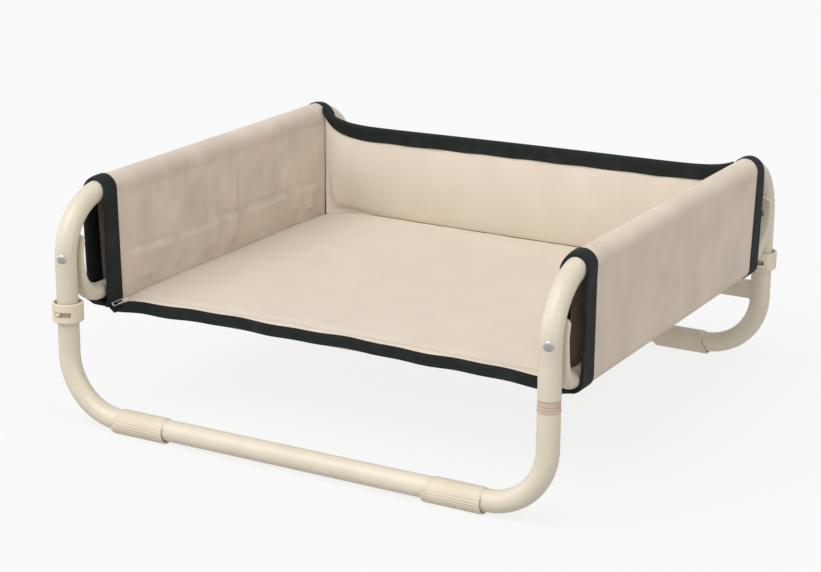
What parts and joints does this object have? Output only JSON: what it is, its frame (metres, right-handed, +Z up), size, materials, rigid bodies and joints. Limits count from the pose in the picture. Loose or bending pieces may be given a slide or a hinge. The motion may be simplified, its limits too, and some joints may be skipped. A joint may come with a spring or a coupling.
{
  "type": "outdoor dog bed",
  "caption": "Raised folding dog bed: steel tube frame with swinging U legs, slung fabric seat and walls on the sides and rear, open front.",
  "frame": {"origin": "on the ground, midway between the four legs", "axes": "+Z up, +X to the bed's right seen from the open front, -Y out of the open front"},
  "size_m": [0.576, 0.578, 0.2507],
  "materials": {
    "powder_coat": "satin ivory powder coat",
    "moulded_plastic": "fine matte beige moulding",
    "bright_steel": "bright plated",
    "dull_steel": "plain turned steel",
    "canvas": "sand coloured woven polyester",
    "webbing": "black woven tape"
  },
  "bodies": {
    "right_side": {"right_side_tube": "powder_coat", "right_seat_rail": "powder_coat", "right_front_rivet": "bright_steel", "right_rear_rivet": "bright_steel", "right_end_plug": "moulded_plastic", "right_dock_keeper": "moulded_plastic", "right_wall_sleeve": "canvas", "right_front_tape": "webbing", "right_rear_tape": "webbing", "seat_panel": "canvas", "rear_panel": "canvas", "rear_top_band": "webbing", "front_strap": "webbing", "rear_strap": "webbing"},
    "left_side": {"left_side_tube": "powder_coat", "left_seat_rail": "powder_coat", "left_front_rivet": "bright_steel", "left_rear_rivet": "bright_steel", "left_end_plug": "moulded_plastic", "left_dock_keeper": "moulded_plastic", "left_wall_sleeve": "canvas", "left_front_tape": "webbing", "left_rear_tape": "webbing", "strap_slider": "bright_steel"},
    "front_leg": {"front_leg_tube": "powder_coat", "front_swivel_pin": "dull_steel", "front_swivel_bush": "moulded_plastic", "front_dock_collar": "moulded_plastic", "front_right_foot": "moulded_plastic", "front_left_foot": "moulded_plastic"},
    "rear_leg": {"rear_leg_tube": "powder_coat", "rear_leg_brace": "powder_coat", "rear_swivel_pin": "dull_steel", "rear_swivel_bush": "moulded_plastic", "rear_dock_collar": "moulded_plastic", "rear_right_foot": "moulded_plastic", "rear_left_foot": "moulded_plastic"},
    "front_latch": {"front_latch_ring": "moulded_plastic", "front_latch_stud": "moulded_plastic"},
    "rear_latch": {"rear_latch_ring": "moulded_plastic", "rear_latch_stud": "moulded_plastic"}
  },
  "joints": [
    {"name": "front_leg_swing", "type": "hinge", "parent": "right_side", "child": "front_leg", "pos_m": [0.272, -0.272, 0.115], "axis": [0, 0, 1], "range_deg": [0, 265]},
    {"name": "side_close", "type": "slide", "parent": "right_side", "child": "left_side", "axis": [1, 0, 0], "range_m": [0, 0.4322], "deforming": ["seat_panel", "rear_panel", "rear_top_band", "front_strap", "rear_strap"]},
    {"name": "rear_leg_swing", "type": "hinge", "parent": "left_side", "child": "rear_leg", "pos_m": [-0.272, 0.272, 0.115], "axis": [0, 0, 1], "range_deg": [0, 265]},
    {"name": "front_latch_turn", "type": "hinge", "parent": "front_leg", "child": "front_latch", "pos_m": [-0.272, -0.272, 0.12], "axis": [0, 0, 1], "range_deg": [0, 40]},
    {"name": "rear_latch_turn", "type": "hinge", "parent": "rear_leg", "child": "rear_latch", "pos_m": [0.272, 0.272, 0.12], "axis": [0, 0, 1], "range_deg": [0, 40]}
  ],
  "couplings": [
    {"joint": "side_close", "follows": "front_leg_swing", "m_per_rad": 0.0934},
    {"joint": "rear_leg_swing", "follows": "front_leg_swing", "ratio": 1}
  ]
}
